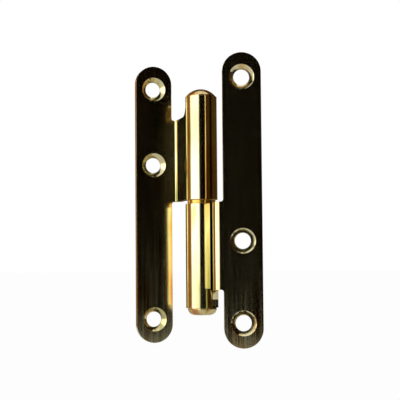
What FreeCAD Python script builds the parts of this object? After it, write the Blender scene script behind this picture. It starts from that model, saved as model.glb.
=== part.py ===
"""Lift-off hinge: two cranked sheet leaves with rolled barrels on one fixed pin.

Frame: +Z up the pin, the origin on the pin's axis half-way up the leaves, and +X along the
lower leaf, away from the pin.
"""
import FreeCAD, Part

import math
import os

DIMENSIONS = {
    # leaves
    "leaf_height": 110.0,
    "leaf_width": 14.5,
    "leaf_offset": 16.0,
    "sheet": 2.2,
    "bend_inside": 0.6,
    "tab_length": 1.1,
    "tab_fillet": 1.0,
    "neck_height": 32.6,
    "neck_fillet": 4.4,
    "opening_angle": 196.0,
    # screw holes
    "hole_from_end": 9.2,
    "hole_pitch": 30.4,
    "hole_diameter": 6.0,
    "sink_diameter": 9.4,
    "sink_angle": 90.0,
    # barrels, ring and pin
    "barrel_diameter": 12.4,
    "barrel_length": 40.0,
    "seam_gap": 0.9,
    "ring_height": 1.6,
    "ring_setback": 0.8,
    "ring_clearance": 0.1,
    "ring_rounding": 0.3,
    "pin_clearance": 0.05,
    "pin_below_cap": 5.0,
    "pin_lead": 1.5,
    "head_setback": 0.7,
    "head_height": 2.7,
    "head_rounding": 2.3,
    "cap_setback": 0.55,
    "cap_rim": 0.4,
    "cap_height": 3.1,
    "cap_plug": 5.0,
}

doc = FreeCAD.newDocument("lift_off_hinge")
sheet = doc.addObject("Spreadsheet::Sheet", "Dimensions")
for row, (alias, value) in enumerate(DIMENSIONS.items(), start=1):
    sheet.set(f"A{row}", alias)
    sheet.set(f"B{row}", str(value))
    sheet.setAlias(f"B{row}", alias)
doc.recompute()


def size(alias):
    """Value of one driving dimension, in millimetres or degrees."""
    return float(sheet.get(alias))


def cell(alias):
    """Reference to a driving dimension for use in an expression."""
    return f"Dimensions.{alias}"


def point(x, y):
    return FreeCAD.Vector(x, y, 0)


def new_body(name):
    body = doc.addObject("PartDesign::Body", name)
    body.Label = name
    return body


def new_sketch(body, name, plane_role):
    """Empty sketch on one of the body's own origin planes."""
    sketch = body.newObject("Sketcher::SketchObject", name)
    plane = next(item for item in body.Origin.OriginFeatures if item.Role == plane_role)
    sketch.AttachmentSupport = [(plane, "")]
    sketch.MapMode = "FlatFace"
    return sketch


def outline(sketch, pieces):
    """Add a closed chain of lines and arcs whose ends meet in order."""
    for piece in pieces:
        sketch.addGeometry(piece, False)


def arc(center, radius, start, end):
    """Arc that runs anticlockwise from start to end, in degrees."""
    circle = Part.Circle(center, FreeCAD.Vector(0, 0, 1), radius)
    return Part.ArcOfCircle(circle, math.radians(start), math.radians(end))


def line(first, second):
    return Part.LineSegment(first, second)


def pad(body, name, sketch, length):
    """Pad whose length is bound to the expression given."""
    feature = body.newObject("PartDesign::Pad", name)
    feature.Profile = sketch
    feature.setExpression("Length", length)
    sketch.Visibility = False
    return feature


def edges_where(shape, test):
    """Names of the edges that pass the test."""
    return [f"Edge{number}" for number, edge in enumerate(shape.Edges, start=1) if test(edge)]


def near(value, target):
    return abs(value - target) < 0.001


def on_height(edge, height):
    """True for an edge that lies flat at this height."""
    return near(edge.BoundBox.ZMin, height) and near(edge.BoundBox.ZMax, height)


class Half:
    """One half of the hinge: leaf, crank and rolled barrel, all from one sheet.

    Its own frame has the pin on Z and the leaf along +X, in front of the pin at -Y.
    """

    def __init__(self, name, upwards):
        self.name = name
        self.upwards = upwards
        self.outer = size("barrel_diameter") / 2
        self.inner = self.outer - size("sheet")
        self.crank = self.outer + size("bend_inside")
        self.edge = self.crank + size("tab_length")
        self.near_face = size("leaf_offset") - size("sheet") / 2
        self.far_face = size("leaf_offset") + size("sheet") / 2

    def heights(self, length):
        """Lowest and highest level of a stretch that starts at the bearing ring."""
        start = size("ring_height") / 2
        return (start, start + length) if self.upwards else (-start - length, -start)

    def lowest(self, alias):
        """Expression for the lower level of a stretch that starts at the ring."""
        start = f"{cell('ring_height')} / 2"
        return start if self.upwards else f"-{start} - {cell(alias)}"

    def leaf_outline(self):
        """Round-ended leaf with the tab that the crank is bent from."""
        low, high = self.heights(size("neck_height"))
        fillet = size("tab_fillet")
        edge = self.edge
        radius = size("leaf_width") / 2
        far = edge + size("leaf_width")
        crown = size("leaf_height") / 2 - radius
        return [
            line(point(self.crank, low), point(self.crank, high)),
            line(point(self.crank, high), point(edge - fillet, high)),
            arc(point(edge - fillet, high + fillet), fillet, 270, 360),
            line(point(edge, high + fillet), point(edge, crown)),
            arc(point(edge + radius, crown), radius, 0, 180),
            line(point(far, crown), point(far, -crown)),
            arc(point(edge + radius, -crown), radius, 180, 360),
            line(point(edge, -crown), point(edge, low - fillet)),
            arc(point(edge - fillet, low - fillet), fillet, 0, 90),
            line(point(edge - fillet, low), point(self.crank, low)),
        ]

    def crank_outline(self):
        """Section of the neck and of its bend into the leaf."""
        turn = self.near_face - size("bend_inside")
        center = point(self.crank, -turn)
        bend = size("bend_inside")
        return [
            line(point(self.inner, 0), point(self.outer, 0)),
            line(point(self.outer, 0), point(self.outer, -turn)),
            arc(center, bend, 180, 270),
            line(point(self.crank, -self.near_face), point(self.crank, -self.far_face)),
            arc(center, bend + size("sheet"), 180, 270),
            line(point(self.inner, -turn), point(self.inner, 0)),
        ]

    def barrel_outline(self):
        """Rolled sheet, from the neck round to the seam."""
        seam = 360 - math.degrees(math.acos((self.inner - size("seam_gap")) / self.outer))
        ending = FreeCAD.Vector(math.cos(math.radians(seam)), math.sin(math.radians(seam)), 0)
        return [
            line(point(self.inner, 0), point(self.outer, 0)),
            arc(point(0, 0), self.outer, 0, seam),
            line(ending * self.outer, ending * self.inner),
            arc(point(0, 0), self.inner, 0, seam),
        ]

    def build(self, sink_on_far_face):
        body = new_body(self.name)

        leaf = new_sketch(body, f"{self.name}_leaf_outline", "XZ_Plane")
        outline(leaf, self.leaf_outline())
        leaf.setExpression("AttachmentOffset.Base.z", f"{cell('leaf_offset')} - {cell('sheet')} / 2")
        pad(body, f"{self.name}_leaf", leaf, cell("sheet"))

        neck = new_sketch(body, f"{self.name}_crank_section", "XY_Plane")
        outline(neck, self.crank_outline())
        neck.setExpression("AttachmentOffset.Base.z", self.lowest("neck_height"))
        pad(body, f"{self.name}_crank", neck, cell("neck_height"))

        roll = new_sketch(body, f"{self.name}_barrel_section", "XY_Plane")
        outline(roll, self.barrel_outline())
        roll.setExpression("AttachmentOffset.Base.z", self.lowest("barrel_length"))
        rolled = pad(body, f"{self.name}_barrel", roll, cell("barrel_length"))
        doc.recompute()

        step = self.heights(size("neck_height"))[1 if self.upwards else 0]
        corner = edges_where(rolled.Shape, lambda edge: on_height(edge, step)
                             and near(edge.BoundBox.YMin, 0) and near(edge.BoundBox.YMax, 0))
        shoulder = body.newObject("PartDesign::Fillet", f"{self.name}_shoulder")
        shoulder.Base = (rolled, corner)
        ledge = f"{cell('barrel_length')} - {cell('neck_height')}"
        shoulder.setExpression("Radius", f"min({cell('neck_fillet')}; 0.9 * ({ledge}))")
        doc.recompute()

        self.drill(body, sink_on_far_face)
        return body

    def drill(self, body, sink_on_far_face):
        """Three countersunk screw holes on the leaf's centre line."""
        face = cell("leaf_offset") + (" + " if sink_on_far_face else " - ") + f"{cell('sheet')} / 2"
        towards_barrel = 1 if self.upwards else -1
        end = size("leaf_height") / 2 - size("hole_from_end")
        middle = end - size("hole_pitch")
        across = self.edge + size("leaf_width") / 2
        marks = new_sketch(body, f"{self.name}_hole_centres", "XZ_Plane")
        marks.setExpression("AttachmentOffset.Base.z", face)
        for height in (end, middle, -end):
            center = point(across, towards_barrel * height)
            marks.addGeometry(Part.Circle(center, FreeCAD.Vector(0, 0, 1), size("hole_diameter") / 2), False)
        doc.recompute()
        before = body.Shape.Volume
        holes = body.newObject("PartDesign::Hole", f"{self.name}_screw_holes")
        holes.Profile = marks
        doc.recompute()
        holes.ThreadType = "None"
        holes.DepthType = "ThroughAll"
        holes.HoleCutType = "Countersink"
        holes.HoleCutCustomValues = True
        holes.Reversed = not sink_on_far_face
        holes.setExpression("Diameter", cell("hole_diameter"))
        holes.setExpression("HoleCutDiameter", cell("sink_diameter"))
        holes.setExpression("HoleCutCountersinkAngle", cell("sink_angle"))
        marks.Visibility = False
        doc.recompute()
        removed = before - body.Shape.Volume
        plain = 3 * math.pi * (size("hole_diameter") / 2) ** 2 * size("sheet")
        if removed <= plain:
            raise RuntimeError(f"{self.name}: the screw holes took {removed:.1f} of {plain:.1f} cubic mm")


def turned(name, profile):
    """Solid of revolution about the pin's axis from a closed profile of (radius, height)."""
    body = new_body(name)
    sketch = new_sketch(body, f"{name}_profile", "XZ_Plane")
    outline(sketch, profile)
    feature = body.newObject("PartDesign::Revolution", f"{name}_turned")
    feature.Profile = sketch
    feature.ReferenceAxis = (sketch, ["V_Axis"])
    feature.Angle = 360
    sketch.Visibility = False
    return body, sketch, feature


def chain(points):
    """Closed chain of straight lines."""
    return [line(point(*first), point(*second))
            for first, second in zip(points, points[1:] + points[:1])]


def dome_arc(base_radius, base_height, top_height):
    """Arc from the axis at the top down to the rim of a spherical dome."""
    rise = top_height - base_height
    radius = (base_radius ** 2 + rise ** 2) / (2 * rise)
    center = point(0, top_height - radius)
    rim = math.degrees(math.atan2(base_height - top_height + radius, base_radius))
    return arc(center, radius, rim, 90)


def build_pin():
    """Pin with a rounded head, fixed in the lower barrel and standing up into the upper one."""
    radius = size("barrel_diameter") / 2 - size("sheet") - size("pin_clearance")
    seat = -size("ring_height") / 2 - size("barrel_length")
    foot = seat - size("head_height")
    top = size("ring_height") / 2 + size("barrel_length") - size("cap_plug") - size("pin_below_cap")
    head = size("barrel_diameter") / 2 - size("head_setback")
    rounding = size("head_rounding")
    lead = size("pin_lead")
    profile = [
        line(point(0, top), point(0, foot)),
        line(point(0, foot), point(head - rounding, foot)),
        arc(point(head - rounding, foot + rounding), rounding, 270, 360),
        line(point(head, foot + rounding), point(head, seat)),
        line(point(head, seat), point(radius, seat)),
        line(point(radius, seat), point(radius, top - lead)),
        line(point(radius, top - lead), point(radius - lead, top)),
        line(point(radius - lead, top), point(0, top)),
    ]
    return turned("hinge_pin", profile)[0]


def build_ring():
    """Bearing ring that the upper barrel stands on."""
    bore = size("barrel_diameter") / 2 - size("sheet") - size("pin_clearance") + size("ring_clearance")
    half = size("ring_height") / 2
    outer = size("barrel_diameter") / 2 - size("ring_setback")
    body, _, feature = turned("bearing_ring", chain([(bore, -half), (outer, -half), (outer, half), (bore, half)]))
    doc.recompute()
    rims = edges_where(feature.Shape, lambda edge: near(edge.BoundBox.XMax, outer)
                       and (on_height(edge, half) or on_height(edge, -half)))
    rounded = body.newObject("PartDesign::Fillet", "bearing_ring_rims")
    rounded.Base = (feature, rims)
    rounded.setExpression("Radius", cell("ring_rounding"))
    return body


def build_cap():
    """Domed plug in the open top of the upper barrel."""
    seat = size("ring_height") / 2 + size("barrel_length")
    radius = size("barrel_diameter") / 2 - size("sheet") - size("pin_clearance")
    rim = size("barrel_diameter") / 2 - size("cap_setback")
    base = seat + size("cap_rim")
    top = seat + size("cap_height")
    foot = seat - size("cap_plug")
    profile = [
        line(point(0, top), point(0, foot)),
        line(point(0, foot), point(radius, foot)),
        line(point(radius, foot), point(radius, seat)),
        line(point(radius, seat), point(rim, seat)),
        line(point(rim, seat), point(rim, base)),
        dome_arc(rim, base, top),
    ]
    return turned("barrel_cap", profile)[0]


lower = Half("lower_leaf", upwards=False).build(sink_on_far_face=True)
upper = Half("upper_leaf", upwards=True).build(sink_on_far_face=False)
pin = build_pin()
ring = build_ring()
cap = build_cap()
for turning in (upper, cap):
    turning.setExpression("Placement.Rotation.Angle", cell("opening_angle"))
doc.recompute()

for item in doc.Objects:
    if "Invalid" in item.State or "Error" in item.State:
        raise RuntimeError(f"{item.Label} failed: {item.State}")

os.makedirs("parts", exist_ok=True)
for body in (lower, upper, pin, ring, cap):
    if body.Shape.isNull() or not body.Shape.isValid():
        raise RuntimeError(f"{body.Label} has no valid shape")
    body.Shape.exportStep(f"parts/{body.Label}.step")
    box = body.Shape.BoundBox
    print(f"{body.Label}: {len(body.Shape.Solids)} solid, {body.Shape.Volume:.1f} cubic mm, "
          f"x {box.XMin:.2f} to {box.XMax:.2f}, y {box.YMin:.2f} to {box.YMax:.2f}, "
          f"z {box.ZMin:.2f} to {box.ZMax:.2f}")
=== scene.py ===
"""Looks of the lift-off hinge: its solids dressed as yellow-passivated steel and brass.

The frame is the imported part's: +Z up the pin, the origin on the pin's axis half-way up the
leaves, and +X along the lower leaf. Lengths are in metres unless a name ends in _mm, and
directions are degrees round the pin, from the camera's side towards the lower leaf.
"""

import logging
import math
from dataclasses import dataclass
from enum import Enum

import bmesh
import bpy
from mathutils import Matrix, Vector

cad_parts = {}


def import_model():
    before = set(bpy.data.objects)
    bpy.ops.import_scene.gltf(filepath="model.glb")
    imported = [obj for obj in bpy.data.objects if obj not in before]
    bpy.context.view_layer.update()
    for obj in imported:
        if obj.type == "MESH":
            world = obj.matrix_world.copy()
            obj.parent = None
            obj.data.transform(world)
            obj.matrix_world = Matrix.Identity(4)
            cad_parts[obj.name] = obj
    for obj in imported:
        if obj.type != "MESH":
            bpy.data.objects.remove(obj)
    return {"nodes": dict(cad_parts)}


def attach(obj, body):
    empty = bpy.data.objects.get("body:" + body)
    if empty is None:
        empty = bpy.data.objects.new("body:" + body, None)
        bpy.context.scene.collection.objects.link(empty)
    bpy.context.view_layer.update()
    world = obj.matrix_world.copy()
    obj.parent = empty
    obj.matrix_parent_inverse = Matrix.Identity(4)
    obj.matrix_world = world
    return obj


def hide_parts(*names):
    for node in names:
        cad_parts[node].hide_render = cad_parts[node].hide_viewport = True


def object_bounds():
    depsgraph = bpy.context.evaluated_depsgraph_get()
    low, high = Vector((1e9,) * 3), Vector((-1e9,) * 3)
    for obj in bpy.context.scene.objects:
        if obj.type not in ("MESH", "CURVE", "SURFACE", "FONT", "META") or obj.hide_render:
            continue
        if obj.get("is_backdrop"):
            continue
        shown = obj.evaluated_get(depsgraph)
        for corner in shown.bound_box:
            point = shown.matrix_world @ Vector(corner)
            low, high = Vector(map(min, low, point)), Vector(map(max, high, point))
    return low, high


LOG = logging.getLogger("lift_off_hinge")
MM = 0.001
PICTURE_PX = 400
SENSOR_MM = 36.0
WHITE = "#ffffff"


class Finish(Enum):
    """Finishes that the pieces take their material from."""

    LEAF_STEEL = "leaf_steel"
    PIN_STEEL = "pin_steel"
    RING_BRASS = "ring_brass"


class Grain(Enum):
    """Direction of the fine marks that a way of working leaves, as scales of the pattern."""

    UPRIGHT = (1.0, 1.0, 0.012)
    ROUND = (0.02, 0.02, 1.0)


def linear(code: str) -> tuple[float, float, float, float]:
    """Linear colour of a written sRGB colour.

    Args:
        code: Colour as #rrggbb.

    Returns:
        Red, green, blue and an alpha of one.
    """
    values = [int(code[at:at + 2], 16) / 255 for at in (1, 3, 5)]
    red, green, blue = (v / 12.92 if v <= 0.04045 else ((v + 0.055) / 1.055) ** 2.4 for v in values)
    return red, green, blue, 1.0


def add_node(
    tree: bpy.types.NodeTree, kind: str, inputs: dict | None = None, **settings: str
) -> bpy.types.Node:
    """Add a node, set it up and connect it.

    Args:
        tree: Node tree that gets the node.
        kind: Node type, such as ShaderNodeBump.
        inputs: Value, or output socket to connect, for each input.
        settings: Attributes of the node.

    Returns:
        The new node.
    """
    new = tree.nodes.new(kind)
    for name, value in settings.items():
        setattr(new, name, value)
    for name, value in (inputs or {}).items():
        if isinstance(value, bpy.types.NodeSocket):
            tree.links.new(value, new.inputs[name])
        else:
            new.inputs[name].default_value = value
    return new


def empty_material(name: str) -> bpy.types.Material:
    """Material with an empty node tree."""
    material = bpy.data.materials.new(name)
    material.use_nodes = True
    material.node_tree.nodes.clear()
    return material


def place_mesh(
    name: str, shape: bmesh.types.BMesh, material: bpy.types.Material
) -> bpy.types.Object:
    """Put a finished shape into the scene, with its place in its mesh.

    Args:
        name: Name of the object and of its mesh.
        shape: Shape, which is used up.
        material: Its finish.

    Returns:
        The object at the origin.
    """
    mesh = bpy.data.meshes.new(name)
    shape.to_mesh(mesh)
    shape.free()
    mesh.materials.append(material)
    placed = bpy.data.objects.new(name, mesh)
    bpy.context.scene.collection.objects.link(placed)
    return placed


@dataclass(frozen=True)
class Metal:
    """Finish of a bare or plated metal.

    The tones are places on the film's noise and their colours, and the roughness is that of
    the smoothest and of the roughest mark.
    """

    name: str
    tones: tuple[tuple[float, str], ...]
    blotch_mm: float
    blotch_stretch: float
    scratch_mm: float
    grain: Grain
    roughness: tuple[float, float]
    bump: float
    blotch_detail: float = 3.0
    scratch_detail: float = 5.0
    noise_range: tuple[float, float] = (0.3, 0.7)
    relief_mm: float = 0.02

    def noise(
        self,
        tree: bpy.types.NodeTree,
        grain_mm: float,
        stretch: tuple[float, float, float],
        detail: float,
    ) -> bpy.types.NodeSocket:
        """Noise whose patches have a real size.

        Args:
            tree: Node tree of the material.
            grain_mm: Size of a patch across the stretch.
            stretch: Scale of the coordinates along each axis.
            detail: Detail of the noise.

        Returns:
            Output between 0 and 1.
        """
        place = add_node(tree, "ShaderNodeTexCoord").outputs["Object"]
        placed = add_node(tree, "ShaderNodeMapping", {"Vector": place, "Scale": stretch})
        noise = add_node(tree, "ShaderNodeTexNoise", {
            "Vector": placed.outputs["Vector"], "Scale": 1 / (grain_mm * MM), "Detail": detail})
        return noise.outputs["Fac"]

    def tone(self, tree: bpy.types.NodeTree) -> bpy.types.NodeSocket:
        """Colour of the film over its patches.

        Args:
            tree: Node tree of the material.

        Returns:
            Colour output.
        """
        stretch = (1.0, 1.0, self.blotch_stretch)
        patches = self.noise(tree, self.blotch_mm, stretch, self.blotch_detail)
        ramp = add_node(tree, "ShaderNodeValToRGB", {"Fac": patches})
        steps = ramp.color_ramp.elements
        while len(steps) < len(self.tones):
            steps.new(0.5)
        for step, (position, code) in zip(steps, self.tones):
            step.position = position
            step.color = linear(code)
        return ramp.outputs["Color"]

    def build(self) -> bpy.types.Material:
        """Make the material.

        Returns:
            The finished material.
        """
        material = empty_material(self.name)
        tree = material.node_tree
        marks = self.noise(tree, self.scratch_mm, self.grain.value, self.scratch_detail)
        rough = add_node(tree, "ShaderNodeMapRange", {
            "Value": marks,
            "From Min": self.noise_range[0], "From Max": self.noise_range[1],
            "To Min": self.roughness[0], "To Max": self.roughness[1]})
        relief = add_node(tree, "ShaderNodeBump", {
            "Height": marks, "Strength": self.bump, "Distance": self.relief_mm * MM})
        surface = add_node(tree, "ShaderNodeBsdfPrincipled", {
            "Base Color": self.tone(tree), "Metallic": 1.0,
            "Roughness": rough.outputs["Result"], "Normal": relief.outputs["Normal"]})
        add_node(tree, "ShaderNodeOutputMaterial", {"Surface": surface.outputs["BSDF"]})
        return material


METALS = {
    # Rolled sheet with a yellow chromate film. Its thickness wanders, so the eye sees gold that
    # drifts to olive and to rust, and upright streaks from the rolling. The streaks are drawn
    # coarser than the real ones, which would be too fine to show.
    Finish.LEAF_STEEL: Metal(
        name="yellow_passivated_sheet_steel",
        tones=(
            (0.30, "#a3a468"),
            (0.42, "#dccf98"),
            (0.53, "#e9e0b2"),
            (0.64, "#d6ae68"),
            (0.76, "#b9805a"),
        ),
        blotch_mm=9.0,
        blotch_stretch=0.22,
        scratch_mm=0.35,
        grain=Grain.UPRIGHT,
        roughness=(0.07, 0.17),
        bump=0.25,
    ),
    # The same film on turned steel: warmer, with fine rings round the axis.
    Finish.PIN_STEEL: Metal(
        name="yellow_passivated_turned_steel",
        tones=((0.34, "#b59a5c"), (0.50, "#e3d194"), (0.66, "#c38a55")),
        blotch_mm=6.0,
        blotch_stretch=1.0,
        scratch_mm=0.25,
        grain=Grain.ROUND,
        roughness=(0.10, 0.18),
        bump=0.2,
    ),
    # Plain turned brass: even, yellower than the film and a little duller.
    Finish.RING_BRASS: Metal(
        name="turned_brass",
        tones=((0.35, "#d9a441"), (0.65, "#ecc36a")),
        blotch_mm=5.0,
        blotch_stretch=1.0,
        scratch_mm=0.2,
        grain=Grain.ROUND,
        roughness=(0.18, 0.28),
        bump=0.15,
    ),
}


@dataclass(frozen=True)
class DressedPiece:
    """A solid's own form with soft edges and smooth shading. Angles are in degrees."""

    name: str
    node: str
    body: str
    finish: Finish
    edge_mm: float
    edge_steps: int = 3
    merge_mm: float = 0.001
    flat_angle: float = 1.0
    edge_angle: float = 40.0
    crease_angle: float = 35.0

    def form(self, source: bpy.types.Mesh) -> bmesh.types.BMesh:
        """Copy the solid's faces, merge them and break its sharp outer edges.

        Args:
            source: The solid's loose triangles.

        Returns:
            The shape, in place.
        """
        shape = bmesh.new()
        shape.from_mesh(source)
        bmesh.ops.remove_doubles(shape, verts=shape.verts, dist=self.merge_mm * MM)
        bmesh.ops.dissolve_limit(
            shape, angle_limit=math.radians(self.flat_angle), verts=shape.verts, edges=shape.edges)
        sharp = [
            edge for edge in shape.edges
            if len(edge.link_faces) == 2
            and edge.calc_face_angle_signed() > math.radians(self.edge_angle)
        ]
        bmesh.ops.bevel(
            shape, geom=sharp, offset=self.edge_mm * MM, segments=self.edge_steps, profile=0.5,
            affect="EDGES", clamp_overlap=True, material=-1)
        return shape

    def build(self, source: bpy.types.Mesh, material: bpy.types.Material) -> bpy.types.Object:
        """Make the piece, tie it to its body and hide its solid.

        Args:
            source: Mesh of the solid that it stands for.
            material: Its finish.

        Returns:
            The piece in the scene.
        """
        piece = place_mesh(self.name, self.form(source), material)
        piece.data.shade_smooth()
        piece.data.set_sharp_from_angle(angle=math.radians(self.crease_angle))
        evened = piece.modifiers.new("even_flat_faces", "WEIGHTED_NORMAL")
        evened.keep_sharp = True
        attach(piece, self.body)
        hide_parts(self.node)
        return piece


PIECES = (
    DressedPiece("lower_leaf_dressed", "lower_leaf", "lower_half", Finish.LEAF_STEEL, 0.3),
    DressedPiece("upper_leaf_dressed", "upper_leaf", "upper_half", Finish.LEAF_STEEL, 0.3),
    DressedPiece("hinge_pin_dressed", "hinge_pin", "lower_half", Finish.PIN_STEEL, 0.2),
    DressedPiece("barrel_cap_dressed", "barrel_cap", "upper_half", Finish.PIN_STEEL, 0.12),
    DressedPiece("bearing_ring_dressed", "bearing_ring", "ring", Finish.RING_BRASS, 0.05),
)


@dataclass(frozen=True)
class Card:
    """Upright curved card round the hinge that only mirrors see."""

    name: str
    start: float
    end: float
    colour: str
    strength: float
    low_mm: float = -118.0
    high_mm: float = 1100.0
    distance_mm: float = 620.0
    steps: int = 12

    def glow(self) -> bpy.types.Material:
        """Painted card with an even glow, so that the metal mirrors it as one flat tone.

        Returns:
            The material.
        """
        material = empty_material(self.name)
        tree = material.node_tree
        light = add_node(tree, "ShaderNodeEmission", {
            "Color": linear(self.colour), "Strength": self.strength})
        add_node(tree, "ShaderNodeOutputMaterial", {"Surface": light.outputs["Emission"]})
        return material

    def build(self) -> None:
        """Spin the card's upright edge round the pin."""
        shape = bmesh.new()
        start = math.radians(self.start)
        across = Vector((math.sin(start), -math.cos(start), 0)) * self.distance_mm
        foot, head = (
            shape.verts.new((across + Vector((0, 0, height))) * MM)
            for height in (self.low_mm, self.high_mm)
        )
        upright = shape.edges.new((foot, head))
        bmesh.ops.spin(
            shape, geom=[foot, head, upright], cent=(0, 0, 0), axis=(0, 0, 1),
            angle=math.radians(self.end - self.start), steps=self.steps, use_merge=False)
        card = place_mesh(self.name, shape, self.glow())
        card.visible_camera = False
        card.visible_diffuse = False
        card.visible_shadow = False
        card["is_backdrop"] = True


@dataclass(frozen=True)
class Softbox:
    """Soft rectangular lamp that faces the hinge. A radiance of 1 is white."""

    name: str
    direction: float
    height_mm: float
    wide: float
    high: float
    radiance: float
    distance: float = 0.9

    def build(self) -> None:
        """Make the lamp."""
        lamp = bpy.data.lights.new(self.name, "AREA")
        lamp.shape = "RECTANGLE"
        lamp.size = self.wide
        lamp.size_y = self.high
        lamp.energy = self.radiance * math.pi * self.wide * self.high
        holder = bpy.data.objects.new(self.name, lamp)
        turn = math.radians(self.direction)
        holder.location = (
            math.sin(turn) * self.distance, -math.cos(turn) * self.distance, self.height_mm * MM)
        holder.rotation_euler = (-holder.location).to_track_quat("-Z", "Y").to_euler()
        bpy.context.scene.collection.objects.link(holder)


@dataclass(frozen=True)
class Studio:
    """Pale floor, white surroundings, soft light, and the cards that the metal mirrors."""

    floor_mm: float = -120.0
    floor_reach: float = 6.0
    floor_colour: str = "#f4f4f4"
    floor_lift: float = 0.96
    matt_level: float = 0.6
    clear_level: float = 1.0
    softbox: Softbox = Softbox("softbox_left", -48.0, 120.0, 1.0, 0.9, 1.25)
    cards: tuple[Card, ...] = (
        Card("card_behind_camera", -13.0, 44.0, "#15110a", 0.5),
        Card("card_right_rose", 44.0, 49.0, "#e0908a", 1.6),
        Card("card_right_dark", 49.0, 84.0, "#1c150c", 0.6),
        Card("card_right_brown", 84.0, 150.0, "#7a5a30", 0.35),
        Card("card_behind_hinge", 150.0, 202.0, "#80602f", 0.45),
        Card("card_left_brown", -158.0, -84.0, "#b07a3e", 0.7),
    )

    def paint(self) -> bpy.types.Material:
        """Matt pale paint that the camera sees near white and that keeps a faint shadow.

        Returns:
            The material.
        """
        material = empty_material("pale_matt_floor")
        tree = material.node_tree
        matt = add_node(tree, "ShaderNodeBsdfDiffuse", {"Color": linear(self.floor_colour)})
        lift = add_node(tree, "ShaderNodeEmission", {"Color": linear(WHITE), "Strength": 1.0})
        rays = add_node(tree, "ShaderNodeLightPath").outputs
        seen = add_node(tree, "ShaderNodeMath", {0: rays["Is Camera Ray"], 1: self.floor_lift},
                        operation="MULTIPLY")
        mixed = add_node(tree, "ShaderNodeMixShader", {
            0: seen.outputs["Value"], 1: matt.outputs["BSDF"], 2: lift.outputs["Emission"]})
        add_node(tree, "ShaderNodeOutputMaterial", {"Surface": mixed.outputs["Shader"]})
        return material

    def floor(self) -> None:
        """Lay the floor below the hinge."""
        shape = bmesh.new()
        bmesh.ops.create_grid(
            shape, x_segments=1, y_segments=1, size=self.floor_reach,
            matrix=Matrix.Translation((0, 0, self.floor_mm * MM)))
        place_mesh("floor", shape, self.paint())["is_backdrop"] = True

    def world(self) -> None:
        """White surroundings for the camera and for mirrors, softer ones for matt surfaces."""
        world = bpy.data.worlds.new("white_surroundings")
        world.use_nodes = True
        tree = world.node_tree
        tree.nodes.clear()
        rays = add_node(tree, "ShaderNodeLightPath").outputs
        seen = rays["Is Camera Ray"]
        for ray in ("Is Glossy Ray", "Is Transmission Ray"):
            joined = add_node(tree, "ShaderNodeMath", {0: seen, 1: rays[ray]}, operation="MAXIMUM")
            seen = joined.outputs["Value"]
        level = add_node(tree, "ShaderNodeMapRange", {
            "Value": seen, "To Min": self.matt_level, "To Max": self.clear_level})
        light = add_node(tree, "ShaderNodeBackground", {
            "Color": linear(WHITE), "Strength": level.outputs["Result"]})
        add_node(tree, "ShaderNodeOutputWorld", {"Surface": light.outputs["Background"]})
        bpy.context.scene.world = world

    def build(self) -> None:
        """Set the whole studio up."""
        self.floor()
        for card in self.cards:
            card.build()
        self.softbox.build()
        self.world()
        bpy.context.scene.view_settings.view_transform = "Standard"
        LOG.info("studio: floor, %s and %d cards", self.softbox.name, len(self.cards))


@dataclass(frozen=True)
class PhotographCamera:
    """Camera fitted to the photograph's outlines. Angles are in degrees."""

    name: str = "photograph_camera"
    place_mm: tuple[float, float, float] = (-2.08, -381.94, -20.77)
    yaw: float = 0.225
    pitch: float = -3.227
    roll: float = 0.469
    focal_px: float = 987.3
    nearest: float = 0.01
    farthest: float = 50.0

    def pose(self) -> Matrix:
        """Placement of the camera in the frame.

        Returns:
            Its world matrix.
        """
        yaw, pitch, roll = (math.radians(angle) for angle in (self.yaw, self.pitch, self.roll))
        level = Vector((math.cos(yaw), -math.sin(yaw), 0))
        heading = Vector((math.sin(yaw), math.cos(yaw), 0))
        forward = math.cos(pitch) * heading - Vector((0, 0, math.sin(pitch)))
        upright = math.sin(pitch) * heading + Vector((0, 0, math.cos(pitch)))
        right = math.cos(roll) * level - math.sin(roll) * upright
        top = math.sin(roll) * level + math.cos(roll) * upright
        turned = Matrix((right, top, -forward)).transposed().to_4x4()
        return Matrix.Translation(Vector(self.place_mm) * MM) @ turned

    def build(self) -> None:
        """Make the camera and view the scene through it."""
        lens = bpy.data.cameras.new(self.name)
        lens.sensor_width = SENSOR_MM
        lens.lens = SENSOR_MM * self.focal_px / PICTURE_PX
        lens.clip_start = self.nearest
        lens.clip_end = self.farthest
        camera = bpy.data.objects.new(self.name, lens)
        camera.matrix_world = self.pose()
        bpy.context.scene.collection.objects.link(camera)
        bpy.context.scene.camera = camera


class Hinge:
    """The dressed hinge around its solids."""

    def __init__(self) -> None:
        """Load the solids, measure them and make the finishes."""
        self.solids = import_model()["nodes"]
        self.solid_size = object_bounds()
        self.finishes = {finish: metal.build() for finish, metal in METALS.items()}

    def build(self) -> None:
        """Dress each piece."""
        for spec in PIECES:
            piece = spec.build(self.solids[spec.node].data, self.finishes[spec.finish])
            LOG.info("%s: %d faces, %s", piece.name, len(piece.data.polygons), spec.finish.value)


def main() -> None:
    """Build the scene from its solids to its camera."""
    logging.basicConfig(level=logging.INFO, format="%(message)s")
    hinge = Hinge()
    hinge.build()
    Studio().build()
    PhotographCamera().build()


if __name__ == "__main__":
    main()
